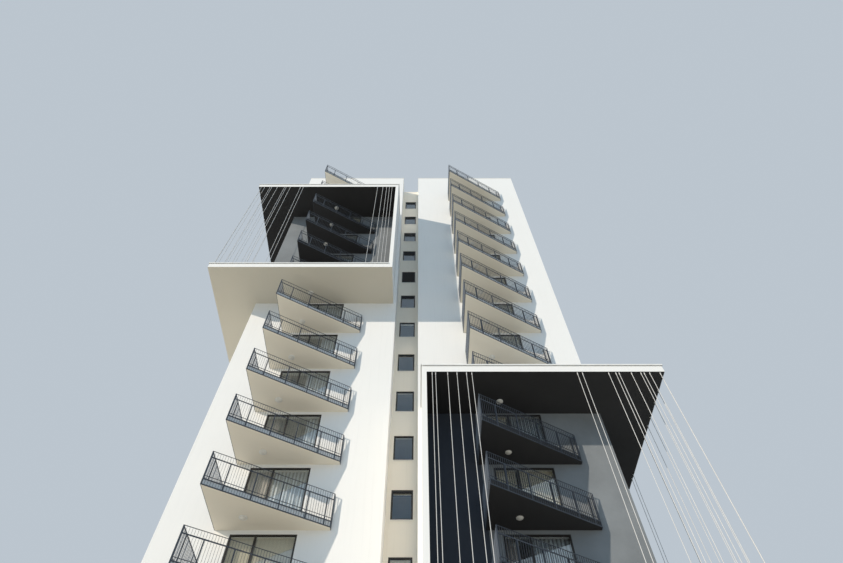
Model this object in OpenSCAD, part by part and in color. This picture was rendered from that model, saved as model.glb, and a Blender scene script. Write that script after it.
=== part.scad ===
// Apartment block at half of its real size, in millimetres.
// Two rendered wings stand either side of a recessed core. Wedge balconies
// climb both wings, and a four storey frame with cable screens wraps the
// outer front corner of each wing, high on the left and low on the right.
// The origin is the centre of the footprint on the ground and the front
// faces -Y.

/* [Block] */
// Height from floor to floor
storey_h = 1500; // [1400:10:1700]
// Number of storeys
storeys = 16; // [15:1:18]
// Height of the parapets above the roof, with their copings
parapet_h = 900; // [400:10:1200]
// Width of each wing
wing_w = 4140; // [4000:10:4600]
// Depth of the wings from front to back
wing_d = 7500; // [7000:50:9000]
// Width of the core between the wings
core_w = 650; // [600:10:1200]
// Setback of the core behind the wings, at front and back
core_recess = 665; // [300:5:1000]
// Thickness of the outside walls
wall_t = 125; // [100:5:180]
// Thickness of floors and balconies
slab_t = 125; // [90:5:160]
// Thickness of the slab on the ground
ground_t = 75; // [50:5:150]

/* [Roof] */
// Thickness of the copings
coping_t = 20; // [10:1:40]
// Overhang of a coping past each face of its wall
coping_out = 12; // [5:1:30]
// Joint between the ends of neighbouring copings
coping_joint = 4; // [2:1:10]

/* [Balconies] */
// Length of a balcony along its wall
balcony_l = 2110; // [1900:5:2300]
// Depth of a balcony slab at its deep end
balcony_deep = 1265; // [900:5:1270]
// Depth of a balcony slab at its shallow end
balcony_shallow = 80; // [45:5:300]
// From the left corner of the left wing to its balconies
left_balcony_in = 1085; // [900:5:1400]
// From the left corner of the right wing to its balconies
right_balcony_in = 1250; // [1000:5:1600]

/* [Railings] */
// Height of the railings above the floor
railing_h = 600; // [500:5:700]
// Height of the rails along the slab and of the second rail
rail_h = 20; // [15:1:40]
// Height of the top rail and of the foot rail
slim_rail_h = 8; // [6:1:20]
// Thickness of rails and posts
rail_t = 10; // [8:1:20]
// Width of a post
post_w = 20; // [15:1:40]
// Width of the posts at corners and walls
slim_post_w = 10; // [8:1:20]
// Gap between the top rail and the second rail
second_drop = 119; // [50:1:140]
// Height of the foot rail above the floor
foot_rail_gap = 61; // [30:1:90]
// From the deep corner to the first post of the slanted front
first_post_in = 370; // [200:5:500]
// Spacing of the posts
post_pitch = 515; // [400:5:700]
// From the shallow corner to the last post of the slanted front
last_post_in = 135; // [100:5:300]

/* [Balcony doors] */
// From the deep end of a balcony to its door
door_in = 300; // [200:5:500]
// Width of a balcony door
door_w = 1225; // [900:5:1300]
// Height of a balcony door above the floor line
door_h = 1295; // [1150:5:1340]
// From the left side of a door to its mullion
mullion_in = 460; // [350:5:700]

/* [Windows] */
// Width of a small window
window_w = 455; // [300:5:500]
// Width of a wide window in the back walls
wide_window_w = 900; // [600:10:1100]
// Height of the windows
window_h = 715; // [500:5:750]
// Height of the window sills above the floor line
window_sill = 560; // [400:5:640]
// From the front corner to the first window of a side
side_window_in = 1500; // [900:10:2000]
// Spacing of the two windows of a side
side_window_pitch = 3600; // [2500:10:4000]
// From the outer back corner to the first wide window
back_window_in = 620; // [400:10:700]
// Spacing of the two wide windows of a back wall
back_window_pitch = 1850; // [1400:10:1950]
// Width of the bars of door and window frames
frame_w = 30; // [20:1:50]
// Depth of door and window frames
frame_d = 40; // [25:1:50]
// Setback of the frames behind the wall face
frame_set = 8; // [5:1:45]
// Thickness of the glass
glass_t = 12; // [6:1:16]

/* [Entrance] */
// Width of the entrance door
entrance_w = 500; // [400:5:560]
// Height of the entrance door above the ground
entrance_h = 1125; // [1050:5:1300]
// Height of the solid foot of the door leaf
entrance_kick_h = 180; // [100:5:400]

/* [Hung frames] */
// Number of storeys below the left frame
storeys_below_left_frame = 10; // [8:1:10]
// Number of storeys below the right frame
storeys_below_right_frame = 3; // [2:1:6]
// Storeys that a frame takes in
frame_storeys = 4; // [3:1:4]
// Thickness of the slabs of a frame
frame_slab_t = 180; // [120:5:200]
// Reach of a frame in front of the wings
frame_out = 1245; // [1245:5:1500]
// Reach of a frame past the side of its wing
frame_side = 1185; // [900:5:1500]
// Reach of a frame along the side, behind the wings' front
frame_back = 3500; // [2600:10:4500]
// Gap between the core and the inner fin of a frame
fin_in = 82; // [40:2:200]
// Thickness of the fins
fin_t = 108; // [80:2:150]
// Height of the kerb on the slab edges
kerb_h = 45; // [30:5:100]
// Thickness of the kerb
kerb_t = 50; // [40:2:60]

/* [Cables] */
// Diameter of a cable
cable_d = 12; // [10:1:24]

/* [Lamps] */
// Diameter of a lamp's dome
lamp_d = 140; // [80:5:200]
// Height of a lamp's dome
lamp_h = 34; // [20:1:39]
// Thickness of a lamp's base plate
lamp_base_t = 8; // [4:1:15]
// Rim of the base plate around the dome
lamp_rim = 6; // [3:1:15]
// From the deep end of a balcony to its lamp
lamp_in = 580; // [400:5:800]
// From the wall to a lamp
lamp_out = 370; // [250:5:500]

/* [Hidden] */
$fn = 48;

LEFT = -1;
RIGHT = 1;
// Cuts run this far past the faces they open
past = 5;

// Plan of the block
half_core = core_w / 2;
wing_edge = half_core + wing_w;
front_y = -wing_d / 2;
back_y = wing_d / 2;
core_front_y = front_y + core_recess;
core_back_y = back_y - core_recess;

// Heights of the block
roof_z = storeys * storey_h;
wall_top = roof_z + parapet_h - coping_t;

// Plan of a frame on the right wing
frame_front_y = front_y - frame_out;
frame_rear_y = front_y + frame_back;
frame_edge = wing_edge + frame_side;
fin_x = half_core + fin_in;
rear_fin_y = frame_rear_y - fin_t;

// Railings that stand on a frame slab keep inside its kerb
seat_gap = 2;
mitre_reach = 2 * rail_t;
kerbed_deep = min(balcony_deep, frame_out - mitre_reach - kerb_t - seat_gap);

// Cables, as distances from the outer corner of a frame, then from the
// inner face of its fin, and for the side screen from the front corner
left_corner_cables = [100, 220, 420, 485, 695, 960, 1025, 1180, 1560, 1670];
left_fin_cables = [135, 235, 340, 480, 680];
right_corner_cables = [100, 325, 445, 515, 720, 985, 1055, 1210, 1775, 1885];
right_fin_cables = [120, 195, 455, 655, 860, 975];
side_cables = [150, 550, 900, 1350, 1625, 2000, 3300, 3450, 3850, 4200];

// Foot floor of the frame on one wing
function frame_floor(side) = side == LEFT ? storeys_below_left_frame : storeys_below_right_frame;
function head_floor(side) = frame_floor(side) + frame_storeys;
// Top of the floor of a storey
function floor_z(k) = k == 0 ? ground_t : k * storey_h;
// Left side of a wing, of its balconies and of its balcony doors
function wing_x(side) = side == LEFT ? -wing_edge : half_core;
function balcony_x(side) = wing_x(side) + (side == LEFT ? left_balcony_in : right_balcony_in);
function door_x(side) = balcony_x(side) + door_in;

// Floors whose balcony stands free, hangs in the frame or is a frame slab
function in_frame(side, k) = k > frame_floor(side) && k < head_floor(side);
function on_frame(side, k) = k == frame_floor(side) || k == head_floor(side);
function free_floors(side) = [for (k = [1 : storeys - 1])
    if (!in_frame(side, k) && !on_frame(side, k)) k];
function framed_floors(side) = [for (k = [1 : storeys - 1]) if (in_frame(side, k)) k];

// Turns what is drawn for the right wing into that of either wing
module on_wing(side) {
    if (side == LEFT) mirror([1, 0, 0]) children();
    else children();
}

// Slabs inside the walls

module wing_plate(z, t) {
    translate([half_core + wall_t, front_y + wall_t, z])
        cube([wing_w - 2 * wall_t, wing_d - 2 * wall_t, t]);
}

module core_plate(z, t) {
    translate([-half_core, core_front_y + wall_t, z])
        cube([core_w, core_back_y - core_front_y - 2 * wall_t, t]);
}

module ground_slab() {
    color("silver") {
        for (side = [LEFT, RIGHT]) on_wing(side) wing_plate(0, ground_t);
        core_plate(0, ground_t);
    }
}

module floor_slabs() {
    color("gainsboro")
        for (k = [1 : storeys - 1]) {
            for (side = [LEFT, RIGHT]) on_wing(side) wing_plate(k * storey_h - slab_t, slab_t);
            core_plate(k * storey_h - slab_t, slab_t);
        }
}

module roof_slabs() {
    color("gray") {
        for (side = [LEFT, RIGHT]) on_wing(side) wing_plate(roof_z - slab_t, slab_t);
        core_plate(roof_z - slab_t, slab_t);
    }
}

// Openings, frames and glass, drawn with the outside of the wall at Y = 0

module opening(w, h) {
    translate([0, -past, 0]) cube([w, wall_t + 2 * past, h]);
}

// Bars are the left sides of the mullions, counted from the left jamb
module sash(w, h, bars = []) {
    lefts = concat([0], bars, [w - frame_w]);
    translate([0, frame_set, 0]) difference() {
        cube([w, frame_d, h]);
        for (i = [0 : len(bars)])
            translate([lefts[i] + frame_w, -past, frame_w])
                cube([lefts[i + 1] - lefts[i] - frame_w, frame_d + 2 * past, h - 2 * frame_w]);
    }
}

module panes(w, h, bars = []) {
    lefts = concat([0], bars, [w - frame_w]);
    for (i = [0 : len(bars)])
        translate([lefts[i] + frame_w, frame_set + (frame_d - glass_t) / 2, frame_w])
            cube([lefts[i + 1] - lefts[i] - frame_w, glass_t, h - 2 * frame_w]);
}

// Places of the openings, each with its wall facing outwards

module at_balcony_door(side, k) {
    translate([door_x(side), front_y, floor_z(k)]) children();
}

function door_clear(k) = k * storey_h + door_h - floor_z(k);
door_bars = [mullion_in];
wide_bars = [(wide_window_w - frame_w) / 2];

module at_core_window(k) {
    translate([-window_w / 2, core_front_y, k * storey_h + window_sill]) children();
}

module at_back_core_window(k) {
    translate([window_w / 2, core_back_y, k * storey_h + window_sill])
        rotate([0, 0, 180]) children();
}

module at_side_windows(k) {
    for (i = [0, 1])
        translate([wing_edge, front_y + side_window_in + i * side_window_pitch,
                   k * storey_h + window_sill])
            rotate([0, 0, 90]) children();
}

module at_back_windows(k) {
    for (i = [0, 1])
        translate([wing_edge - back_window_in - i * back_window_pitch, back_y,
                   k * storey_h + window_sill])
            rotate([0, 0, 180]) children();
}

// Walls

module front_wall(side) {
    color("whitesmoke") difference() {
        translate([wing_x(side), front_y, 0]) cube([wing_w, wall_t, wall_top]);
        for (k = [0 : storeys - 1]) at_balcony_door(side, k) opening(door_w, door_clear(k));
    }
}

module outer_wall(side) {
    color("whitesmoke") on_wing(side) difference() {
        translate([wing_edge - wall_t, front_y + wall_t, 0])
            cube([wall_t, wing_d - 2 * wall_t, wall_top]);
        for (k = [0 : storeys - 1]) at_side_windows(k) opening(window_w, window_h);
    }
}

module inner_wall(side) {
    color("whitesmoke") on_wing(side)
        translate([half_core, front_y + wall_t, 0])
            cube([wall_t, wing_d - 2 * wall_t, wall_top]);
}

module back_wall(side) {
    color("whitesmoke") on_wing(side) difference() {
        translate([half_core, back_y - wall_t, 0]) cube([wing_w, wall_t, wall_top]);
        for (k = [0 : storeys - 1]) at_back_windows(k) opening(wide_window_w, window_h);
    }
}

module core_front_wall() {
    color("bisque") difference() {
        translate([-half_core, core_front_y, 0]) cube([core_w, wall_t, wall_top]);
        for (k = [1 : storeys - 1]) at_core_window(k) opening(window_w, window_h);
        at_entrance() opening(entrance_w, entrance_h - ground_t);
    }
}

module core_back_wall() {
    color("bisque") difference() {
        translate([-half_core, core_back_y - wall_t, 0]) cube([core_w, wall_t, wall_top]);
        for (k = [0 : storeys - 1]) at_back_core_window(k) opening(window_w, window_h);
    }
}

// Copings, one strip on each wall with open joints between them

module coping(x, y, w, d) {
    translate([x - coping_out, y - coping_out, wall_top])
        cube([w + 2 * coping_out, d + 2 * coping_out, coping_t]);
}

module copings() {
    clear = coping_out + coping_joint;
    side_l = wing_d - 2 * wall_t - 2 * coping_out - 2 * clear + 2 * coping_out;
    color("white") {
        for (side = [LEFT, RIGHT]) on_wing(side) {
            for (y = [front_y, back_y - wall_t]) coping(half_core, y, wing_w, wall_t);
            for (x = [half_core, wing_edge - wall_t])
                coping(x, front_y + wall_t + clear + coping_out, wall_t, side_l - 2 * coping_out);
        }
        for (y = [core_front_y, core_back_y - wall_t])
            coping(-half_core + clear + coping_out, y, core_w - 2 * (clear + coping_out), wall_t);
    }
}

// Balconies, drawn from the deep end of the slab at the wall's face

function deep_corner(deep) = [0, -deep];
shallow_corner = [balcony_l, -balcony_shallow];
function edge_l(deep) = norm(shallow_corner - deep_corner(deep));
function along(deep) = (shallow_corner - deep_corner(deep)) / edge_l(deep);
function outward(deep) = [along(deep).y, -along(deep).x];

module at_balcony(side, k) {
    translate([balcony_x(side), front_y, k * storey_h]) children();
}

module wedge_slab(deep) {
    translate([0, 0, -slab_t]) linear_extrude(slab_t)
        polygon([[0, 0], deep_corner(deep), shallow_corner, [balcony_l, 0]]);
}

module free_balconies(side) {
    color("ivory") for (k = free_floors(side)) at_balcony(side, k) wedge_slab(balcony_deep);
}

module framed_balconies(side) {
    color("#2b2b2e") for (k = framed_floors(side)) at_balcony(side, k) wedge_slab(balcony_deep);
}

// Railings, a slanted panel in front and two panels back to the wall. Hung
// ones run down over the slab's edge to its underside, the others stand on a
// frame slab. The front's posts carry its second rail, and the corners its
// slim top rail. The sides' posts carry a stronger top rail.

second_rail_z = railing_h - slim_rail_h - second_drop - rail_h;
top_rail = [railing_h - slim_rail_h, slim_rail_h];

// Undersides and heights of the rails that posts carry
function low_rails(hung) =
    concat(hung ? [[-slab_t, rail_h], [-rail_h / 2, rail_h]] : [], [[foot_rail_gap, slim_rail_h]]);
function front_rails(hung) = concat(low_rails(hung), [[second_rail_z, rail_h]]);
function side_rails(hung) = concat(low_rails(hung), [[railing_h - rail_h, rail_h]]);

// Gaps below and between rails
function post_gaps(r, hung) = concat(hung ? [] : [[-past, r[0][0]]],
    [for (i = [1 : len(r) - 1]) [r[i - 1][0] + r[i - 1][1], r[i][0]]]);

// Cuts for the bays of a panel that runs along X from start to end, where
// posts are the left sides of the posts between
module bays(start, posts, end, gaps) {
    lefts = concat([start], [for (p = posts) p + post_w]);
    rights = concat(posts, [end]);
    for (i = [0 : len(posts)], gap = gaps) bay(lefts[i], rights[i], gap);
}

module bay(from, to, gap) {
    translate([from, -rail_t - past, gap[0]])
        cube([to - from, 2 * (rail_t + past), gap[1] - gap[0]]);
}

function front_posts(l) = concat(
    [for (a = [first_post_in : post_pitch : l - last_post_in - post_pitch / 2]) a - post_w / 2],
    [l - last_post_in - post_w / 2]);
function side_posts(l) = let (count = floor((l - 2 * post_w) / post_pitch))
    [for (i = [count : -1 : 1]) l - post_w - i * post_pitch];

module foot_at(hung) {
    translate([0, 0, hung ? -slab_t : 0]) children();
}
function panel_h(hung) = railing_h + (hung ? slab_t : 0);

// The plan of the slanted panel has a mitred post at both ends
module railing_front(deep, hung) {
    n = outward(deep);
    l = edge_l(deep);
    start = deep_corner(deep);
    end = shallow_corner;
    difference() {
        foot_at(hung) linear_extrude(panel_h(hung))
            polygon([start, start + [-rail_t, 0], start + rail_t * [-1, (1 + n.x) / n.y],
                     end + rail_t * [1, (1 - n.x) / n.y], end + [rail_t, 0], end]);
        translate(start) rotate([0, 0, atan2(along(deep).y, along(deep).x)]) {
            bays(slim_post_w, front_posts(l), l - slim_post_w, post_gaps(front_rails(hung), hung));
            bay(slim_post_w, l - slim_post_w, [second_rail_z + rail_h, top_rail[0]]);
        }
    }
}

module railing_side(x, l, hung) {
    translate([x, -l, 0]) difference() {
        foot_at(hung) cube([rail_t, l, panel_h(hung)]);
        rotate([0, 0, 90])
            bays(-past, side_posts(l), l - slim_post_w, post_gaps(side_rails(hung), hung));
    }
}

module railing_sides(deep, hung) {
    railing_side(-rail_t, deep, hung);
    railing_side(balcony_l, balcony_shallow, hung);
}

function railing_deep(side, k) = on_frame(side, k) ? kerbed_deep : balcony_deep;

module railing_fronts(side) {
    color("darkslategray") for (k = [1 : storeys - 1])
        at_balcony(side, k) railing_front(railing_deep(side, k), !on_frame(side, k));
}

module railing_side_panels(side) {
    color("darkslategray") for (k = [1 : storeys - 1])
        at_balcony(side, k) railing_sides(railing_deep(side, k), !on_frame(side, k));
}

// Lamps under every balcony and frame slab

module soffit_lamp() {
    r = lamp_d / 2;
    ball_r = (r * r + lamp_h * lamp_h) / (2 * lamp_h);
    translate([0, 0, -lamp_base_t]) cylinder(h = lamp_base_t, r = r + lamp_rim);
    translate([0, 0, -lamp_base_t - lamp_h]) intersection() {
        translate([0, 0, ball_r]) sphere(ball_r);
        cylinder(h = lamp_h, r = r + lamp_rim);
    }
}

module soffit_lamps() {
    color("floralwhite")
        for (side = [LEFT, RIGHT], k = [1 : storeys - 1]) at_balcony(side, k)
            translate([lamp_in, -lamp_out, -(on_frame(side, k) ? frame_slab_t : slab_t)])
                soffit_lamp();
}

// Hung frames, drawn on the right wing

// Slab round the wing's outer front corner, with a kerb on its free edges.
// The kerb starts at kerb_x and ends at kerb_y.
module frame_slab(kerb_x, kerb_y) {
    translate([fin_x, frame_front_y, -frame_slab_t])
        cube([frame_edge - fin_x, frame_out, frame_slab_t]);
    translate([wing_edge, front_y, -frame_slab_t]) cube([frame_side, frame_back, frame_slab_t]);
    translate([kerb_x, frame_front_y, 0]) cube([frame_edge - kerb_x, kerb_t, kerb_h]);
    translate([frame_edge - kerb_t, frame_front_y, 0])
        cube([kerb_t, kerb_y - frame_front_y, kerb_h]);
}

module frame_foot(side) {
    color("white") on_wing(side) translate([0, 0, frame_floor(side) * storey_h])
        frame_slab(fin_x + fin_t, rear_fin_y);
}

module frame_top(side) {
    color("white") on_wing(side) translate([0, 0, head_floor(side) * storey_h]) {
        frame_slab(fin_x, frame_rear_y);
        translate([fin_x, frame_front_y, 0]) cube([kerb_t, frame_out, kerb_h]);
        translate([wing_edge, frame_rear_y - kerb_t, 0]) cube([frame_side, kerb_t, kerb_h]);
    }
}

// Clear height between the two slabs of a frame
frame_clear_h = frame_storeys * storey_h - frame_slab_t;

module frame_fin(side) {
    color("white") on_wing(side) translate([fin_x, frame_front_y, frame_floor(side) * storey_h])
        cube([fin_t, frame_out, frame_clear_h]);
}

module frame_rear_fin(side) {
    color("white") on_wing(side) translate([wing_edge, rear_fin_y, frame_floor(side) * storey_h])
        cube([frame_side, fin_t, frame_clear_h]);
}

// A taut cable from the kerb to the slab above
module cable() {
    cylinder(h = frame_clear_h - kerb_h, d = cable_d);
}

module at_kerb(side, x, y) {
    on_wing(side) translate([x, y, frame_floor(side) * storey_h + kerb_h]) children();
}

module front_cables(side) {
    from_corner = side == LEFT ? left_corner_cables : right_corner_cables;
    from_fin = side == LEFT ? left_fin_cables : right_fin_cables;
    y = frame_front_y + kerb_t / 2;
    color("white") {
        for (a = from_corner) at_kerb(side, frame_edge - a, y) cable();
        for (a = from_fin) at_kerb(side, fin_x + fin_t + a, y) cable();
    }
}

module side_screen_cables(side) {
    color("white") for (a = side_cables)
        at_kerb(side, frame_edge - kerb_t / 2, frame_front_y + a) cable();
}

// Doors and windows

module balcony_door_frames() {
    color("darkslategray") for (side = [LEFT, RIGHT], k = [0 : storeys - 1])
        at_balcony_door(side, k) sash(door_w, door_clear(k), door_bars);
}

module balcony_door_glass() {
    color("lightblue", 0.4) for (side = [LEFT, RIGHT], k = [0 : storeys - 1])
        at_balcony_door(side, k) panes(door_w, door_clear(k), door_bars);
}

module core_window_frames() {
    color("darkslategray") {
        for (k = [1 : storeys - 1]) at_core_window(k) sash(window_w, window_h);
        for (k = [0 : storeys - 1]) at_back_core_window(k) sash(window_w, window_h);
    }
}

module core_window_glass() {
    color("lightblue", 0.4) {
        for (k = [1 : storeys - 1]) at_core_window(k) panes(window_w, window_h);
        for (k = [0 : storeys - 1]) at_back_core_window(k) panes(window_w, window_h);
    }
}

module side_window_frames() {
    color("darkslategray") for (side = [LEFT, RIGHT], k = [0 : storeys - 1])
        on_wing(side) at_side_windows(k) sash(window_w, window_h);
}

module side_window_glass() {
    color("lightblue", 0.4) for (side = [LEFT, RIGHT], k = [0 : storeys - 1])
        on_wing(side) at_side_windows(k) panes(window_w, window_h);
}

module back_window_frames() {
    color("darkslategray") for (side = [LEFT, RIGHT], k = [0 : storeys - 1])
        on_wing(side) at_back_windows(k) sash(wide_window_w, window_h, wide_bars);
}

module back_window_glass() {
    color("lightblue", 0.4) for (side = [LEFT, RIGHT], k = [0 : storeys - 1])
        on_wing(side) at_back_windows(k) panes(wide_window_w, window_h, wide_bars);
}

// Entrance door at the foot of the core, glazed above a solid foot

entrance_clear_h = entrance_h - ground_t;
light_w = entrance_w - 2 * frame_w;
light_h = entrance_clear_h - entrance_kick_h - frame_w;

module at_entrance() {
    translate([-entrance_w / 2, core_front_y, ground_t]) children();
}

module entrance_door() {
    color("darkslategray") at_entrance() translate([0, frame_set, 0]) difference() {
        cube([entrance_w, frame_d, entrance_clear_h]);
        translate([frame_w, -past, entrance_kick_h]) cube([light_w, frame_d + 2 * past, light_h]);
    }
}

module entrance_glass() {
    color("lightblue", 0.4) at_entrance()
        translate([frame_w, frame_set + (frame_d - glass_t) / 2, entrance_kick_h])
            cube([light_w, glass_t, light_h]);
}

ground_slab();
floor_slabs();
front_wall(LEFT);  // left_front_wall
outer_wall(LEFT);  // left_outer_wall
inner_wall(LEFT);  // left_inner_wall
back_wall(LEFT);  // left_back_wall
front_wall(RIGHT);  // right_front_wall
outer_wall(RIGHT);  // right_outer_wall
inner_wall(RIGHT);  // right_inner_wall
back_wall(RIGHT);  // right_back_wall
core_front_wall();
core_back_wall();
roof_slabs();
copings();
frame_top(LEFT);  // left_frame_top
frame_foot(LEFT);  // left_frame_foot
frame_fin(LEFT);  // left_frame_fin
frame_rear_fin(LEFT);  // left_frame_rear_fin
frame_top(RIGHT);  // right_frame_top
frame_foot(RIGHT);  // right_frame_foot
frame_fin(RIGHT);  // right_frame_fin
frame_rear_fin(RIGHT);  // right_frame_rear_fin
front_cables(LEFT);  // left_front_cables
side_screen_cables(LEFT);  // left_side_cables
front_cables(RIGHT);  // right_front_cables
side_screen_cables(RIGHT);  // right_side_cables
free_balconies(LEFT);  // left_balconies
framed_balconies(LEFT);  // left_frame_balconies
free_balconies(RIGHT);  // right_balconies
framed_balconies(RIGHT);  // right_frame_balconies
railing_fronts(LEFT);  // left_railing_fronts
railing_side_panels(LEFT);  // left_railing_sides
railing_fronts(RIGHT);  // right_railing_fronts
railing_side_panels(RIGHT);  // right_railing_sides
soffit_lamps();
balcony_door_frames();
balcony_door_glass();
core_window_frames();
core_window_glass();
side_window_frames();
side_window_glass();
back_window_frames();
back_window_glass();
entrance_door();
entrance_glass();
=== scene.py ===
"""Looks of the apartment block: the finish of every wall, slab and pane, the balusters and
fins of the railings, cable sockets, flashings, sills, beads, curtains, blinds, shades and lamp
rings, with the camera and the light."""
import math

import bpy
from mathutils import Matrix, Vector


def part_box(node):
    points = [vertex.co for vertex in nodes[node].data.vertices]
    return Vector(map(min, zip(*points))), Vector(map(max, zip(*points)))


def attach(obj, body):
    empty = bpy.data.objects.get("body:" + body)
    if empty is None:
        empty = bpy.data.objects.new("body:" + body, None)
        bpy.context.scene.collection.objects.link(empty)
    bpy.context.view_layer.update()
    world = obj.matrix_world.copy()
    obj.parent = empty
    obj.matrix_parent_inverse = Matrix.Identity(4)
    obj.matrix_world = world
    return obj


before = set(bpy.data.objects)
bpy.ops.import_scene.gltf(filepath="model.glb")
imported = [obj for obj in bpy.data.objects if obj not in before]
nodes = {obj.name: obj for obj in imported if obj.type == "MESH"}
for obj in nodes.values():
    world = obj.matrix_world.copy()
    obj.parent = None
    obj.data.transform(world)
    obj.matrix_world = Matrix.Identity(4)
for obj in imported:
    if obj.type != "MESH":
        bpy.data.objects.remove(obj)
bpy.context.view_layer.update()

# Sizes of the block, in metres, as the model has them
STOREY = 1.5
STOREYS = 16
SLAB = 0.125
GROUND_SLAB_TOP = 0.075
FRONT_Y = -3.75
BALCONY_X = {"left": -3.38, "right": 1.575}
BALCONY_L = 2.110
SHALLOW = 0.080
DEEP = 1.265
KERBED_DEEP = 1.173
FRAME_FOOT = {"left": 10, "right": 3}
FRAME_STOREYS = 4
RAILING_H = 0.6
RAIL_T = 0.010
SLIM_RAIL_H = 0.008
LOW_RAIL_MIDDLE = 0.010
FOOT_RAIL_MIDDLE = 0.065
FIRST_POST = 0.370
POST_PITCH = 0.515
POSTS_AT_PITCH = 4
LAST_POST = 0.135
DOOR_IN = 0.3
DOOR_W = 1.225
MULLION_IN = 0.46

# Sizes of what the scene adds, in metres
BALUSTER_PITCH = 0.0485
BALUSTER_W = 0.0035
BALUSTER_D = 0.0125
FIN_W = 0.010
FIN_D = 0.024
FIN_H = 0.470
SHEET_T = 0.003
BEAD_W = 0.006
BEAD_D = 0.009
CURTAIN_Y = -3.590
CURTAIN_HEAD = 1.305
CURTAIN_LIFT = 0.015
FOLD_DEPTH = 0.011
SLAT_H = 0.024
SLAT_PITCH = 0.028

# Folds of the curtains, in radians along a metre of wall
FOLDS = 84.0
SLOW_FOLDS = 39


# Meshes

def add_six_faces(faces, n):
    """Adds the faces of a box, whose four lower corners come before the four upper ones."""
    faces += [(n, n + 3, n + 2, n + 1), (n + 4, n + 5, n + 6, n + 7)]
    for i in range(4):
        j = (i + 1) % 4
        faces.append((n + i, n + j, n + 4 + j, n + 4 + i))


def add_box(rows, low, high):
    """Adds a box between two corners."""
    verts, faces = rows
    x0, y0, z0 = low
    x1, y1, z1 = high
    add_six_faces(faces, len(verts))
    verts += [(x0, y0, z0), (x1, y0, z0), (x1, y1, z0), (x0, y1, z0),
              (x0, y0, z1), (x1, y0, z1), (x1, y1, z1), (x0, y1, z1)]


def add_bar(rows, foot, height, along, width, depth):
    """Adds an upright bar on a foot point, with its width along a direction in plan."""
    verts, faces = rows
    add_six_faces(faces, len(verts))
    a = Vector((along[0], along[1], 0)).normalized() * width / 2
    b = Vector((-along[1], along[0], 0)).normalized() * depth / 2
    for z in (0, height):
        for s, t in ((-1, -1), (1, -1), (1, 1), (-1, 1)):
            verts.append(tuple(Vector(foot) + a * s + b * t + Vector((0, 0, z))))


def add_turned(rows, centre, profile, sides=16):
    """Adds an upright turned body, from radius and height pairs counted from its centre."""
    verts, faces = rows
    n = len(verts)
    for r, z in profile:
        for i in range(sides):
            t = 2 * math.pi * i / sides
            verts.append((centre[0] + r * math.cos(t), centre[1] + r * math.sin(t), centre[2] + z))
    for k in range(len(profile) - 1):
        for i in range(sides):
            j = (i + 1) % sides
            faces.append((n + k * sides + i, n + k * sides + j,
                          n + (k + 1) * sides + j, n + (k + 1) * sides + i))
    faces.append(tuple(n + i for i in reversed(range(sides))))
    faces.append(tuple(n + (len(profile) - 1) * sides + i for i in range(sides)))


def make_piece(name, rows, material, smooth=False):
    """Makes one piece that rides on the block. Smooth ones keep their end faces flat."""
    mesh = bpy.data.meshes.new(name)
    mesh.from_pydata(rows[0], [], rows[1])
    mesh.materials.append(material)
    if smooth:
        mesh.polygons.foreach_set("use_smooth", [len(p.vertices) == 4 for p in mesh.polygons])
    mesh.update()
    piece = bpy.data.objects.new(name, mesh)
    bpy.context.scene.collection.objects.link(piece)
    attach(piece, "root")
    return piece


def solids_of(node):
    """Low and high corners of each separate solid in a CAD node."""
    mesh = nodes[node].data
    keys = [tuple(round(c * 5000) for c in v.co) for v in mesh.vertices]
    home = {}

    def root(k):
        while home.setdefault(k, k) != k:
            home[k] = home[home[k]]
            k = home[k]
        return k

    for e in mesh.edges:
        a, b = root(keys[e.vertices[0]]), root(keys[e.vertices[1]])
        if a != b:
            home[a] = b
    boxes = {}
    for v, k in zip(mesh.vertices, keys):
        low, high = boxes.setdefault(root(k), ([9e9] * 3, [-9e9] * 3))
        for i in range(3):
            low[i] = min(low[i], v.co[i])
            high[i] = max(high[i], v.co[i])
    return sorted((tuple(low), tuple(high)) for low, high in boxes.values())


# Shader groups

def new_group(name, inputs, outputs):
    """Starts a shader node group with number inputs, each with its default, and outputs."""
    group = bpy.data.node_groups.new(name, "ShaderNodeTree")
    for label, value in inputs:
        socket = group.interface.new_socket(label, in_out="INPUT", socket_type="NodeSocketFloat")
        socket.default_value = value
    for label, kind in outputs:
        group.interface.new_socket(label, in_out="OUTPUT", socket_type="NodeSocket" + kind)
    return group, group.nodes.new("NodeGroupInput"), group.nodes.new("NodeGroupOutput")


def put(tree, kind, links=(), **values):
    """Adds a node, sets its options and inputs by name, and links sockets into inputs that are
    given by name or number."""
    node = tree.nodes.new("ShaderNode" + kind)
    for key, value in values.items():
        if hasattr(node, key):
            setattr(node, key, value)
        else:
            node.inputs[key.replace("_", " ").title()].default_value = value
    for target, source in links:
        tree.links.new(source, node.inputs[target])
    return node


def arith(tree, operation, a, b=0.0, c=0.0, clamp=False):
    """Output of a Math node, whose inputs are numbers or sockets."""
    node = tree.nodes.new("ShaderNodeMath")
    node.operation = operation
    node.use_clamp = clamp
    for i, value in enumerate((a, b, c)):
        if isinstance(value, (int, float)):
            node.inputs[i].default_value = value
        else:
            tree.links.new(value, node.inputs[i])
    return node.outputs[0]


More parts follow.
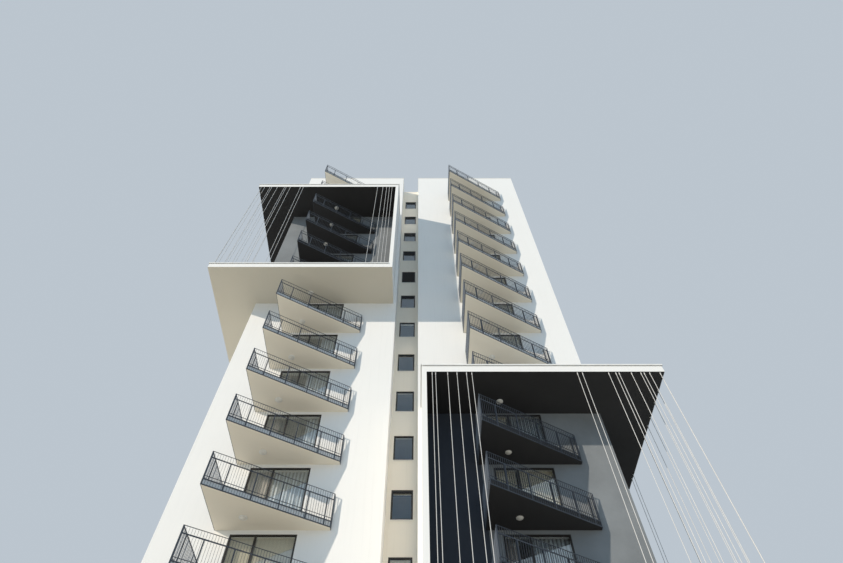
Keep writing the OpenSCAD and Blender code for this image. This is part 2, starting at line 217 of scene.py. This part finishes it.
def render_grain_group():
    """Fine trowelled render: a grain height, and a soft patchy tone around 0.5."""
    group, gin, gout = new_group("render grain", [("Grain Scale", 260.0), ("Patch Scale", 0.9)],
                                 [("Height", "Float"), ("Tone", "Float")])
    place = put(group, "NewGeometry").outputs["Position"]
    fine = put(group, "TexNoise", [("Vector", place), ("Scale", gin.outputs["Grain Scale"])],
               detail=3.0, roughness=0.6)
    drag = put(group, "TexNoise", [("Vector", place)], scale=38.0, detail=4.0, roughness=0.55)
    wide = put(group, "TexNoise", [("Vector", place), ("Scale", gin.outputs["Patch Scale"])],
               detail=5.0, roughness=0.6)
    height = arith(group, "ADD", arith(group, "MULTIPLY", fine.outputs["Fac"], 0.5),
                   arith(group, "MULTIPLY", drag.outputs["Fac"], 0.5))
    group.links.new(height, gout.inputs["Height"])
    group.links.new(wide.outputs["Fac"], gout.inputs["Tone"])
    return group


def rain_streak_group():
    """Faint vertical runs of dirt on outside faces, 0 clean to 1 dirty."""
    group, gin, gout = new_group("rain streaks", [("Amount", 0.5)], [("Dirt", "Float")])
    place = put(group, "NewGeometry").outputs["Position"]
    stretch = put(group, "VectorMath", [(0, place)], operation="MULTIPLY")
    stretch.inputs[1].default_value = (9.0, 9.0, 0.35)
    runs = put(group, "TexNoise", [("Vector", stretch.outputs[0])], scale=1.6, detail=6.0, roughness=0.65)
    spread = put(group, "MapRange", [("Value", runs.outputs["Fac"])], clamp=True)
    spread.inputs["From Min"].default_value = 0.52
    spread.inputs["From Max"].default_value = 0.80
    group.links.new(arith(group, "MULTIPLY", spread.outputs[0], gin.outputs["Amount"]), gout.inputs["Dirt"])
    return group


def between(tree, value, low, high):
    """1 where a value lies between two others."""
    return arith(tree, "MULTIPLY", arith(tree, "GREATER_THAN", value, low),
                 arith(tree, "LESS_THAN", value, high))


def frame_lining_group():
    """1 on the faces that line the hung frames: slabs, fins and the walls behind them. A second
    mask holds the narrow bay between the lower frame's fin and its balconies, where a dark shade is
    painted onto the wall. The faces that bound the lining are taken in or left out by a hair."""
    group, gin, gout = new_group("frame lining", [], [("Mask", "Float"), ("Painted Shade Bay", "Float")])
    place = put(group, "SeparateXYZ", [(0, put(group, "NewGeometry").outputs["Position"])])
    x, y, z = place.outputs
    top_low, top_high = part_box("right_frame_top")
    rear_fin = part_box("right_frame_rear_fin")[0].y
    wall_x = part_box("right_outer_wall")[1].x
    fin_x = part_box("right_frame_fin")[1].x
    take_in, leave_out, skin = 0.0005, 0.001, 0.01
    across = arith(group, "ABSOLUTE", x)
    reach = between(group, y, top_low.y + leave_out, rear_fin + take_in)
    outside = arith(group, "MAXIMUM", arith(group, "LESS_THAN", y, FRONT_Y + skin),
                    arith(group, "GREATER_THAN", across, wall_x - skin))
    width = between(group, across, fin_x - take_in, top_high.x - leave_out)
    bays = []
    for side, beside in (("left", "LESS_THAN"), ("right", "GREATER_THAN")):
        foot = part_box(f"{side}_frame_fin")[0].z
        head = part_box(f"{side}_frame_top")[0].z
        bays.append(arith(group, "MULTIPLY", arith(group, beside, x, 0.0),
                          between(group, z, foot - take_in, head + take_in)))
    mask = arith(group, "MULTIPLY", arith(group, "ADD", *bays),
                 arith(group, "MULTIPLY", width, arith(group, "MULTIPLY", reach, outside)))
    group.links.new(mask, gout.inputs["Mask"])
    # painted shade: marks the narrow bay beside the lower frame's fin, whose wall is painted dark
    painted_shade_bay = arith(group, "MULTIPLY", mask, between(group, x, 0.0, BALCONY_X["right"] + 0.05))
    group.links.new(painted_shade_bay, gout.inputs["Painted Shade Bay"])
    return group


def add_group(tree, group, **values):
    """Places a group in a material, with its own values."""
    node = tree.nodes.new("ShaderNodeGroup")
    node.node_tree = group
    for key, value in values.items():
        node.inputs[key.replace("_", " ").title()].default_value = value
    return node


# Materials

def start_material(name, colour, roughness):
    """Starts a material, whose colour and roughness hold where nothing is linked to them."""
    material = bpy.data.materials.new(name)
    material.use_nodes = True
    shader = material.node_tree.nodes["Principled BSDF"]
    shader.inputs["Base Color"].default_value = (*colour, 1)
    shader.inputs["Roughness"].default_value = roughness
    return material, material.node_tree, shader


def blend_colours(tree, factor, first, second):
    """Mixes two colours, each a tuple or a socket."""
    mix = tree.nodes.new("ShaderNodeMix")
    mix.data_type = "RGBA"
    tree.links.new(factor, mix.inputs["Factor"])
    for socket, value in ((mix.inputs[6], first), (mix.inputs[7], second)):
        if isinstance(value, tuple):
            socket.default_value = (*value, 1)
        else:
            tree.links.new(value, socket)
    return mix.outputs[2]


def bump(tree, shader, height, strength, distance):
    """Roughens a material's surface by a height."""
    node = put(tree, "Bump", [("Height", height)], strength=strength, distance=distance)
    tree.links.new(node.outputs[0], shader.inputs["Normal"])


def face_slope(tree):
    """Which way a face looks: -1 down, 0 sideways, 1 up."""
    normal = put(tree, "NewGeometry").outputs["True Normal"]
    return put(tree, "SeparateXYZ", [(0, normal)]).outputs[2]


def rendered_material(name, groups, wall, lining, soffit=None, fascia=None, deck=None):
    """Fine render in the colours of its outside faces, lining, soffits, slab edges and decks. The
    soffit tone paints in warm light bounced up from the ground.
    The narrow bay beside the lower frame's balconies is painted a dark blue, which stands in for
    the deep shade there."""
    material, tree, shader = start_material(name, wall, 0.88)
    grain = add_group(tree, groups["grain"])
    dirt = add_group(tree, groups["streaks"], amount=0.25).outputs[0]
    colour = blend_colours(tree, grain.outputs["Tone"], tuple(c * 0.965 for c in wall), wall)
    colour = blend_colours(tree, dirt, colour, tuple(c * 0.80 for c in wall))
    slope = face_slope(tree)
    # painted light: downward faces take a warm tone that stands in for light bounced up from the ground
    if soffit:
        colour = blend_colours(tree, arith(tree, "LESS_THAN", slope, -0.5), colour, blend_colours(
            tree, grain.outputs["Tone"], tuple(c * 0.95 for c in soffit), soffit))
    if fascia:
        colour = blend_colours(tree, arith(tree, "LESS_THAN", arith(tree, "ABSOLUTE", slope), 0.5),
                               colour, fascia)
    if deck:
        colour = blend_colours(tree, arith(tree, "GREATER_THAN", slope, 0.5), colour, deck)
    if lining:
        masks = add_group(tree, groups["lining"]).outputs
        cloudy = arith(tree, "MULTIPLY_ADD", grain.outputs["Tone"], 3.2, -1.1, clamp=True)
        colour = blend_colours(tree, masks["Mask"], colour, blend_colours(
            tree, cloudy, tuple(c * 0.84 for c in lining), tuple(c * 1.07 for c in lining)))
        # painted shade: a dark blue on the narrow bay's wall stands in for the deep shade there
        painted_shade_blue = (0.040, 0.048, 0.064)
        painted_shade_bay = arith(tree, "MULTIPLY", masks["Painted Shade Bay"], arith(tree, "GREATER_THAN", slope, -0.5))
        colour = blend_colours(tree, painted_shade_bay, colour, painted_shade_blue)
    tree.links.new(colour, shader.inputs["Base Color"])
    bump(tree, shader, grain.outputs["Height"], 0.35, 0.004)
    return material


def coated_metal(name, groups, colour, roughness):
    """Powder-coated or folded metal with a fine uneven sheen."""
    material, tree, shader = start_material(name, colour, roughness)
    grain = add_group(tree, groups["grain"], grain_scale=900.0, patch_scale=3.0)
    tone = blend_colours(tree, grain.outputs["Tone"], tuple(c * 0.82 for c in colour),
                         tuple(min(1, c * 1.15) for c in colour))
    tree.links.new(tone, shader.inputs["Base Color"])
    gloss = put(tree, "MapRange", [("Value", grain.outputs["Tone"])])
    gloss.inputs["To Min"].default_value = roughness - 0.07
    gloss.inputs["To Max"].default_value = roughness + 0.07
    tree.links.new(gloss.outputs[0], shader.inputs["Roughness"])
    bump(tree, shader, grain.outputs["Height"], 0.08, 0.001)
    return material


def core_render(groups):
    """Beige render of the core."""
    wall = (0.92, 0.86, 0.75)
    material, tree, shader = start_material("core render", wall, 0.88)
    grain = add_group(tree, groups["grain"])
    colour = blend_colours(tree, grain.outputs["Tone"], tuple(c * 0.93 for c in wall), wall)
    dirt = add_group(tree, groups["streaks"], amount=0.3).outputs[0]
    colour = blend_colours(tree, dirt, colour, tuple(c * 0.8 for c in wall))
    tree.links.new(colour, shader.inputs["Base Color"])
    bump(tree, shader, grain.outputs["Height"], 0.35, 0.004)
    return material


def fair_concrete(groups):
    """Bare grey concrete of the floors, with a cloudy tone."""
    material, tree, shader = start_material("fair-faced concrete", (0.50, 0.49, 0.46), 0.8)
    grain = add_group(tree, groups["grain"], grain_scale=120.0, patch_scale=1.6)
    colour = blend_colours(tree, grain.outputs["Tone"], (0.40, 0.39, 0.37), (0.60, 0.59, 0.56))
    tree.links.new(colour, shader.inputs["Base Color"])
    bump(tree, shader, grain.outputs["Height"], 0.3, 0.004)
    return material


def roof_sheet(groups):
    """Grey roof membrane, with a welded lap every half metre."""
    material, tree, shader = start_material("roof membrane", (0.30, 0.30, 0.29), 0.62)
    grain = add_group(tree, groups["grain"], grain_scale=200.0, patch_scale=1.2)
    x = put(tree, "SeparateXYZ", [(0, put(tree, "NewGeometry").outputs["Position"])]).outputs[0]
    lap = between(tree, arith(tree, "FRACT", arith(tree, "MULTIPLY", x, 2.0)), 0.46, 0.54)
    colour = blend_colours(tree, grain.outputs["Tone"], (0.22, 0.22, 0.21), (0.38, 0.38, 0.36))
    colour = blend_colours(tree, arith(tree, "MULTIPLY", lap, 0.35), colour, (0.16, 0.16, 0.16))
    tree.links.new(colour, shader.inputs["Base Color"])
    bump(tree, shader, arith(tree, "ADD", grain.outputs["Height"], lap), 0.4, 0.003)
    return material


def coated_glass(name, ior, tint):
    """Float glass with a reflecting coat, slightly rippled. It lets the daylight through to what
    stands behind it."""
    material, tree, shader = start_material(name, (0.90, 0.95, 0.95), 0.0)
    shader.inputs["Transmission Weight"].default_value = 1.0
    shader.inputs["IOR"].default_value = ior
    shader.inputs["Specular Tint"].default_value = (*tint, 1)
    rays = put(tree, "LightPath").outputs
    passing = arith(tree, "MAXIMUM", rays["Is Shadow Ray"], rays["Is Diffuse Ray"])
    tree.links.new(arith(tree, "MULTIPLY_ADD", passing, -0.75, 1.0), shader.inputs["Alpha"])
    place = put(tree, "NewGeometry").outputs["Position"]
    ripple = put(tree, "TexNoise", [("Vector", place)], scale=1.4, detail=1.0)
    bump(tree, shader, ripple.outputs["Fac"], 0.10, 0.004)
    return material


def opal_plastic(groups):
    """Lamp domes, a little darker in patches where dust has settled."""
    material, tree, shader = start_material("opal plastic", (0.80, 0.78, 0.72), 0.35)
    grain = add_group(tree, groups["grain"], patch_scale=14.0)
    colour = blend_colours(tree, grain.outputs["Tone"], (0.55, 0.53, 0.48), (0.88, 0.86, 0.80))
    tree.links.new(colour, shader.inputs["Base Color"])
    return material


def curtain_cloth(name, colour, shade):
    """Curtain cloth with a fine weave, and painted shade in the depth of its folds."""
    material, tree, shader = start_material(name, colour, 0.8)
    place = put(tree, "NewGeometry").outputs["Position"]
    weave = put(tree, "TexWave", [("Vector", place)], scale=160.0, distortion=0.4)
    weave.bands_direction = "Z"
    tone = blend_colours(tree, weave.outputs["Fac"], tuple(c * 0.92 for c in colour), colour)
    # painted shade: the fold valleys are darkened in step with the folds of the sheet
    folds = put(tree, "TexWave", [("Vector", place)], scale=FOLDS / 20, phase_offset=math.pi / 2)
    tone = blend_colours(tree, arith(tree, "POWER", folds.outputs["Fac"], 1.5), tone,
                         tuple(c * shade for c in colour))
    tree.links.new(tone, shader.inputs["Base Color"])
    bump(tree, shader, weave.outputs["Fac"], 0.2, 0.001)
    return material


def finish_cad_nodes(paint):
    """Gives every CAD node the finish of its piece."""
    plan = {
        "wall render": [f"{s}_{w}_wall" for s in ("left", "right")
                        for w in ("front", "outer", "inner", "back")],
        "frame render": [f"{s}_frame_{p}" for s in ("left", "right")
                         for p in ("top", "foot", "fin", "rear_fin")],
        "balcony render": ["left_balconies", "right_balconies"],
        "black balcony render": ["left_frame_balconies", "right_frame_balconies"],
        "core render": ["core_front_wall", "core_back_wall"],
        "fair-faced concrete": ["ground_slab", "floor_slabs"],
        "roof membrane": ["roof_slabs"],
        "coping sheet": ["copings"],
        "cable coating": [f"{s}_{p}_cables" for s in ("left", "right") for p in ("front", "side")],
        "railing coating": [f"{s}_railing_{p}" for s in ("left", "right") for p in ("fronts", "sides")],
        "window coating": ["balcony_door_frames", "core_window_frames", "side_window_frames",
                           "back_window_frames", "entrance_door"],
        "door glass": ["balcony_door_glass", "entrance_glass"],
        "window glass": ["core_window_glass", "side_window_glass", "back_window_glass"],
        "opal plastic": ["soffit_lamps"],
    }
    for name, members in plan.items():
        for node in members:
            mesh = nodes[node].data
            for i in range(max(1, len(mesh.materials))):
                if i < len(mesh.materials):
                    mesh.materials[i] = paint[name]
                else:
                    mesh.materials.append(paint[name])


# Pieces of the block

def balusters(side, paint):
    """Thin flat bars, edge on, between the rails of every balcony on one wing. Those of the side
    panels are painted lighter, which stands in for the sunlight they catch."""
    fronts, sides = ([], []), ([], [])
    x0 = BALCONY_X[side]
    for k in range(1, STOREYS):
        z0 = k * STOREY
        on_frame = k in (FRAME_FOOT[side], FRAME_FOOT[side] + FRAME_STOREYS)
        deep = KERBED_DEEP if on_frame else DEEP
        foot = z0 + FOOT_RAIL_MIDDLE if on_frame else z0 - SLAB + LOW_RAIL_MIDDLE
        head = z0 + RAILING_H - SLIM_RAIL_H / 2
        start = Vector((x0, FRONT_Y - deep, 0))
        end = Vector((x0 + BALCONY_L, FRONT_Y - SHALLOW, 0))
        run = (end - start).normalized()
        out = Vector((run.y, -run.x, 0)) * RAIL_T / 2
        left, right = x0 - RAIL_T / 2, x0 + BALCONY_L + RAIL_T / 2
        for rows, a, b in ((fronts, start + out, end + out),
                           (sides, Vector((left, FRONT_Y, 0)), Vector((left, FRONT_Y - deep, 0))),
                           (sides, Vector((right, FRONT_Y, 0)), Vector((right, FRONT_Y - SHALLOW, 0)))):
            count = round((b - a).length / BALUSTER_PITCH)
            for i in range(1, count):
                at = a + (b - a) * i / count
                add_bar(rows, (at.x, at.y, foot), head - foot, b - a, BALUSTER_W, BALUSTER_D)
    make_piece(f"{side}_balusters", fronts, paint["railing coating"])
    # painted light: the side panels' bars take a lighter coat that stands in for sunlight
    make_piece(f"{side}_side_balusters", sides, paint["side bar coating with painted sunlight"])


def post_fins(side, paint):
    """Flat fins on the slabs that stiffen the front posts from behind."""
    rows = ([], [])
    for k in range(1, STOREYS):
        on_frame = k in (FRAME_FOOT[side], FRAME_FOOT[side] + FRAME_STOREYS)
        start = Vector((BALCONY_X[side], FRONT_Y - (KERBED_DEEP if on_frame else DEEP), 0))
        whole = Vector((BALCONY_X[side] + BALCONY_L, FRONT_Y - SHALLOW, 0)) - start
        run, length = whole.normalized(), whole.length
        inward = Vector((-run.y, run.x, 0))
        places = [FIRST_POST + i * POST_PITCH for i in range(POSTS_AT_PITCH)] + [length - LAST_POST]
        for at in places:
            foot = start + run * at + inward * FIN_D / 2
            add_bar(rows, (foot.x, foot.y, k * STOREY), FIN_H, run, FIN_W, FIN_D)
    make_piece(f"{side}_post_fins", rows, paint["railing coating"])


def cable_sockets(paint):
    """A turned socket with a lock nut at both ends of every cable."""
    rows = ([], [])
    for side in ("left", "right"):
        for part in ("front", "side"):
            for low, high in solids_of(f"{side}_{part}_cables"):
                x, y = (low[0] + high[0]) / 2, (low[1] + high[1]) / 2
                shape = [(0.013, 0.0), (0.013, 0.010), (0.010, 0.012), (0.010, 0.050), (0.012, 0.052),
                         (0.012, 0.062), (0.007, 0.080)]
                add_turned(rows, (x, y, low[2]), shape, 10)
                add_turned(rows, (x, y, high[2]), [(r, -z) for r, z in reversed(shape)], 10)
    make_piece("cable_sockets", rows, paint["cable coating"], smooth=True)


def frame_flashings(paint):
    """Folded sheets over the kerbs of the hung frames, with a lip down their outer face."""
    rows = ([], [])
    lip, over, thick, drop = 0.020, 0.052, SHEET_T, 0.035
    for side, sign in (("left", -1), ("right", 1)):
        for part in ("top", "foot"):
            low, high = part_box(f"{side}_frame_{part}")
            fin_low, fin_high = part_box(f"{side}_frame_fin")
            z = high.z
            edge = low.x if sign < 0 else high.x
            inner = high.x if sign < 0 else low.x
            rear = high.y
            if part == "foot":
                inner = fin_low.x if sign < 0 else fin_high.x
                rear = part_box(f"{side}_frame_rear_fin")[0].y
            x0, x1 = sorted((inner, edge + sign * lip))
            add_box(rows, (x0, low.y - lip, z), (x1, low.y + over, z + thick))
            add_box(rows, (x0, low.y - lip, z - drop), (x1, low.y - lip + thick, z))
            x0, x1 = sorted((edge + sign * lip, edge - sign * over))
            add_box(rows, (x0, low.y + over, z), (x1, rear, z + thick))
            x0, x1 = sorted((edge + sign * lip, edge + sign * (lip - thick)))
            add_box(rows, (x0, low.y - lip + thick, z - drop), (x1, rear, z))
            if part == "top":
                x0, x1 = sorted((inner - sign * lip, inner))
                add_box(rows, (x0, low.y - lip, z), (x1, FRONT_Y, z + thick))
                x0, x1 = sorted((inner - sign * lip, inner - sign * (lip - thick)))
                add_box(rows, (x0, low.y - lip, z - drop), (x1, FRONT_Y, z))
    make_piece("frame_flashings", rows, paint["coping sheet"])


def window_sills(paint):
    """A folded metal sill under every window, falling outwards just past the wall. Its outline
    is given as distances out from the frame and up from its foot."""
    rows = ([], [])
    verts, faces = rows
    reach, drop = 0.020, 0.012
    profile = [(0.0, 0.006), (reach, 0.002), (reach, -drop), (reach - SHEET_T, -drop),
               (reach - SHEET_T, -0.001), (0.0, 0.003)]
    for node in ("core_window_frames", "side_window_frames", "back_window_frames"):
        for low, high in solids_of(node):
            z = low[2]
            across_x = high[0] - low[0] > high[1] - low[1]
            a, b = (0, 1) if across_x else (1, 0)
            out = -1 if low[b] < 0 else 1
            face = high[b] if out > 0 else low[b]
            n = len(verts)
            for end in (low[a], high[a]):
                for d, h in profile:
                    p = face + out * d
                    verts.append((end, p, z + h) if across_x else (p, end, z + h))
            m = len(profile)
            for i in range(m):
                j = (i + 1) % m
                faces.append((n + i, n + j, n + m + j, n + m + i))
            faces.append(tuple(n + i for i in range(m)))
            faces.append(tuple(n + m + i for i in reversed(range(m))))
    make_piece("window_sills", rows, paint["coping sheet"])


def glazing_beads(paint):
    """Slim beads round every pane, on its outer side."""
    rows = ([], [])
    for node in ("balcony_door_glass", "core_window_glass", "side_window_glass", "back_window_glass",
                 "entrance_glass"):
        for low, high in solids_of(node):
            across_x = high[0] - low[0] > high[1] - low[1]
            a, b = (0, 1) if across_x else (1, 0)
            out = -1 if low[b] < 0 else 1
            face = high[b] if out > 0 else low[b]
            span = sorted((face, face + out * BEAD_D))
            w = BEAD_W
            for u0, u1, z0, z1 in ((low[a], high[a], low[2], low[2] + w),
                                   (low[a], high[a], high[2] - w, high[2]),
                                   (low[a], low[a] + w, low[2] + w, high[2] - w),
                                   (high[a] - w, high[a], low[2] + w, high[2] - w)):
                p, q = [0, 0, z0], [0, 0, z1]
                p[a], q[a], p[b], q[b] = u0, u1, span[0], span[1]
                add_box(rows, p, q)
    make_piece("glazing_beads", rows, paint["window coating"])


def add_curtain(rows, start, end, y, foot, head, phase):
    """Adds a hanging sheet in soft folds between two places along a wall."""
    verts, faces = rows
    n = len(verts)
    step, cloth = 0.010, 0.002
    count = max(12, round((end - start) / step))
    for back in (0.0, cloth):
        for z in (foot, head):
            for i in range(count + 1):
                x = start + (end - start) * i / count
                fold = math.sin(x * FOLDS) + 0.45 * math.sin(x * SLOW_FOLDS + 2.3 * phase)
                spread = 1.0 if z == foot else 0.6
                verts.append((x, y + back + FOLD_DEPTH * spread * fold, z))
    m = count + 1
    for i in range(count):
        a, b, c, d = n + i, n + m + i, n + 2 * m + i, n + 3 * m + i
        faces += [(a, a + 1, b + 1, b), (c + 1, c, d, d + 1), (b, b + 1, d + 1, d), (a + 1, a, c, c + 1)]
    for i, order in ((0, (0, 1, 3, 2)), (count, (0, 2, 3, 1))):
        faces.append(tuple(n + i + m * j for j in order))


def door_curtains(paint):
    """Curtains behind the balcony doors, on a track: linen ones over the narrow leaf and white
    ones over the wide leaf, drawn by the shares given for each storey. Some leaves have roller
    blinds too, lowered by the shares given."""
    drawn = {"left": {4: (0.2, 0.15), 5: (1.0, 1.0), 6: (0.6, 0.45), 7: (0.5, 0.8), 8: (1.0, 0.6),
                      9: (1.0, 1.0), 11: (1.0, 0.7), 12: (0.3, 1.0)},
             "right": {3: (1.0, 1.0), 4: (0.6, 1.0), 5: (0.2, 0.15), 6: (0.2, 0.9), 8: (0.4, 1.0),
                       9: (1.0, 0.5), 11: (0.5, 1.0), 12: (1.0, 0.6)}}
    lowered = {"left": {4: (0.75, 1.0), 10: (0.0, 0.5), 13: (0.6, 0.6)},
               "right": {5: (1.0, 0.8), 6: (1.0, 0.0), 10: (0.4, 1.0), 14: (0.0, 0.7)}}
    white, linen, track, blinds = ([], []), ([], []), ([], []), ([], [])
    y = CURTAIN_Y
    for side in ("left", "right"):
        left = BALCONY_X[side] + DOOR_IN
        middle, right = left + MULLION_IN, left + DOOR_W
        for k in range(STOREYS):
            foot = max(GROUND_SLAB_TOP, k * STOREY) + CURTAIN_LIFT
            head = k * STOREY + CURTAIN_HEAD
            narrow, wide = drawn[side].get(k, (0.35, 0.4))
            add_curtain(linen, left - 0.02, left + narrow * (MULLION_IN + 0.01), y, foot, head, k)
            add_curtain(white, right + 0.02 - wide * (right - middle), right + 0.02, y, foot, head, k + 0.5)
            top = head + 0.018
            add_box(track, (left - 0.04, y - 0.018, head), (right + 0.04, y + 0.018, top))
            for drop, x0, x1 in zip(lowered[side].get(k, (0, 0)), (left, middle + 0.02), (middle, right)):
                if drop:
                    a, b, roll = x0 + 0.01, x1 - 0.01, head - 0.02
                    z = head - drop * (head - foot)
                    add_box(blinds, (a, y - 0.027, z), (b, y - 0.025, roll))
                    add_box(blinds, (a, y - 0.030, z - 0.012), (b, y - 0.022, z))
                    add_box(blinds, (a, y - 0.034, roll), (b, y - 0.020, top))
    make_piece("white_curtains", white, paint["white curtain"], smooth=True)
    make_piece("linen_curtains", linen, paint["linen curtain"], smooth=True)
    make_piece("door_blinds", blinds, paint["blind cloth"])
    make_piece("curtain_tracks", track, paint["coping sheet"])


def roller_blinds(paint):
    """A rolled blind with its slat at the head of some of the core's front windows."""
    rows, slats = ([], []), ([], [])
    for low, high in solids_of("core_window_frames"):
        if low[1] > 0 or int(low[2] / STOREY) not in (2, 4, 5, 9):
            continue
        x0, x1, y = low[0] + 0.03, high[0] - 0.03, high[1] + 0.004
        foot = high[2] - 0.105
        add_box(rows, (x0, y, foot), (x1, y + 0.012, high[2] - 0.03))
        add_box(slats, (x0 - 0.002, y - 0.003, foot - 0.012), (x1 + 0.002, y + 0.015, foot))
    make_piece("roller_blinds", rows, paint["blind cloth"])
    make_piece("blind_slats", slats, paint["window coating"])


def slatted_shades(paint):
    """Dark slats under a head rail, in front of the panes of some of the core's front windows,
    lowered by the share given for each storey."""
    lowered = {2: 0.4, 5: 0.10, 8: 0.12, 10: 0.22, 11: 1.0, 12: 0.42, 13: 0.36, 14: 0.26, 15: 0.26}
    rows = ([], [])
    for low, high in solids_of("core_window_glass"):
        drop = lowered.get(int(low[2] / STOREY), 0)
        if low[1] > 0 or not drop:
            continue
        y = low[1] - 0.0135
        add_box(rows, (low[0], y, high[2] - 0.030), (high[0], y + 0.004, high[2]))
        end = high[2] - drop * (high[2] - low[2])
        z = high[2] - 0.033
        while z - SLAT_H > end:
            add_box(rows, (low[0] + 0.002, y + 0.0005, z - SLAT_H), (high[0] - 0.002, y + 0.0035, z))
            z -= SLAT_PITCH
    # painted shade: the slats' near-black coat stands in for the shade they hang in
    make_piece("slatted_shades", rows, paint["slat coating with painted shade"])


def lamp_trims(paint):
    """A ring round every lamp's dome, over the rim of its base plate: dark inside the frames, and
    pale elsewhere."""
    pale, dark = ([], []), ([], [])
    ring = [(0.0745, -0.0105), (0.0775, -0.0085), (0.0775, -0.001), (0.0765, 0.0)]
    for low, high in solids_of("soffit_lamps"):
        foot = FRAME_FOOT["left" if low[0] < 0 else "right"]
        framed = foot < round((high[2] + SLAB) / STOREY, 1) < foot + FRAME_STOREYS
        add_turned(dark if framed else pale, ((low[0] + high[0]) / 2, (low[1] + high[1]) / 2, high[2]),
                   ring, 32)
    make_piece("lamp_rings", pale, paint["coping sheet"], smooth=True)
    make_piece("framed_lamp_rings", dark, paint["window coating"], smooth=True)


# Camera, floor and light

def camera_from_the_pavement():
    """The camera at the photograph's viewing angle, close to the foot and tilted up."""
    data = bpy.data.cameras.new("camera")
    data.lens = 24.0
    data.sensor_width = 36.0
    data.shift_x = 0.0033
    data.clip_end = 400
    camera = bpy.data.objects.new("camera", data)
    camera.location = (0.345, -12.995, 1.01)
    camera.rotation_euler = (math.radians(148.43), 0, 0)
    bpy.context.scene.collection.objects.link(camera)
    bpy.context.scene.camera = camera


def pale_floor():
    """A wide floor just below the block's foot."""
    rows = ([], [])
    add_box(rows, (-150, -150, -0.05), (150, 150, -0.002))
    material, tree, shader = start_material("pale floor", (0.72, 0.64, 0.53), 0.9)
    mesh = bpy.data.meshes.new("floor")
    mesh.from_pydata(rows[0], [], rows[1])
    mesh.materials.append(material)
    floor = bpy.data.objects.new("floor", mesh)
    bpy.context.scene.collection.objects.link(floor)


def daylight():
    """A low sun from the left and an even sky, pale where the camera, gloss and glass see it."""
    sun = bpy.data.lights.new("sun", "SUN")
    sun.energy = 3.6
    sun.color = (1.0, 0.89, 0.75)
    sun.angle = math.radians(0.8)
    lamp = bpy.data.objects.new("sun", sun)
    travel = Vector((0.7816, 0.4991, -0.3743))
    lamp.rotation_euler = travel.to_track_quat("-Z", "Y").to_euler()
    lamp.location = -travel * 60
    bpy.context.scene.collection.objects.link(lamp)
    world = bpy.data.worlds.new("sky")
    bpy.context.scene.world = world
    world.use_nodes = True
    tree = world.node_tree
    light = tree.nodes["Background"]
    light.inputs["Color"].default_value = (0.345, 0.500, 0.670, 1)
    seen = tree.nodes.new("ShaderNodeBackground")
    seen.inputs["Color"].default_value = (0.50, 0.56, 0.62, 1)
    rays = tree.nodes.new("ShaderNodeLightPath")
    mirrored = arith(tree, "MAXIMUM", rays.outputs["Is Glossy Ray"], rays.outputs["Is Transmission Ray"])
    either = arith(tree, "MAXIMUM", rays.outputs["Is Camera Ray"], mirrored)
    mix = tree.nodes.new("ShaderNodeMixShader")
    tree.links.new(either, mix.inputs[0])
    tree.links.new(light.outputs[0], mix.inputs[1])
    tree.links.new(seen.outputs[0], mix.inputs[2])
    tree.links.new(mix.outputs[0], tree.nodes["World Output"].inputs["Surface"])
    bpy.context.scene.view_settings.view_transform = "Standard"


def make_block():
    """Mixes the finishes, gives them to the CAD nodes, and makes every piece."""
    groups = {"grain": render_grain_group(), "streaks": rain_streak_group(), "lining": frame_lining_group()}
    white = (0.87, 0.87, 0.85)
    paint = {
        "wall render": rendered_material("wall render", groups, white, (0.222, 0.240, 0.252)),
        # the frames' darker warm soffit paints in bounce light and the shade under their feet
        "frame render": rendered_material("frame render", groups, white, (0.026, 0.026, 0.028),
                                          soffit=(0.66, 0.62, 0.53)),
        # the cream soffit paints in warm light bounced up from the ground
        "balcony render": rendered_material("balcony render", groups, white, None,
                                            soffit=(0.84, 0.785, 0.675), fascia=(0.64, 0.65, 0.65),
                                            deck=(0.42, 0.41, 0.39)),
        "black balcony render": rendered_material("black balcony render", groups, (0.03, 0.03, 0.033), None,
                                                  deck=(0.16, 0.16, 0.16)),
        "core render": core_render(groups),
        "fair-faced concrete": fair_concrete(groups),
        "roof membrane": roof_sheet(groups),
        "coping sheet": coated_metal("coping sheet", groups, (0.80, 0.80, 0.78), 0.45),
        "cable coating": coated_metal("cable coating", groups, (0.62, 0.62, 0.61), 0.5),
        "railing coating": coated_metal("railing coating", groups, (0.046, 0.057, 0.074), 0.45),
        # painted light: a lighter copy of the railing coat, standing in for sunlight on the side bars
        "side bar coating with painted sunlight": coated_metal("side bar coating with painted sunlight", groups, (0.15, 0.17, 0.20), 0.45),
        "window coating": coated_metal("window coating", groups, (0.024, 0.022, 0.020), 0.40),
        # painted shade: a near-black coat that stands in for the shade the slats hang in
        "slat coating with painted shade": coated_metal("slat coating with painted shade", groups, (0.008, 0.009, 0.011), 0.75),
        "door glass": coated_glass("door glass", 2.3, (0.86, 0.95, 1.0)),
        "window glass": coated_glass("window glass", 1.8, (0.62, 0.80, 1.0)),
        "opal plastic": opal_plastic(groups),
        # the last number sets how dark the painted fold shade makes the valleys
        "white curtain": curtain_cloth("white curtain", (0.80, 0.87, 0.92), 0.42),
        "linen curtain": curtain_cloth("linen curtain", (0.60, 0.54, 0.50), 0.55),
        "blind cloth": curtain_cloth("blind cloth", (0.66, 0.61, 0.48), 0.9),
    }
    finish_cad_nodes(paint)
    for side in ("left", "right"):
        balusters(side, paint)
        post_fins(side, paint)
    cable_sockets(paint)
    frame_flashings(paint)
    window_sills(paint)
    glazing_beads(paint)
    door_curtains(paint)
    roller_blinds(paint)
    slatted_shades(paint)
    lamp_trims(paint)


camera_from_the_pavement()
pale_floor()
daylight()
make_block()
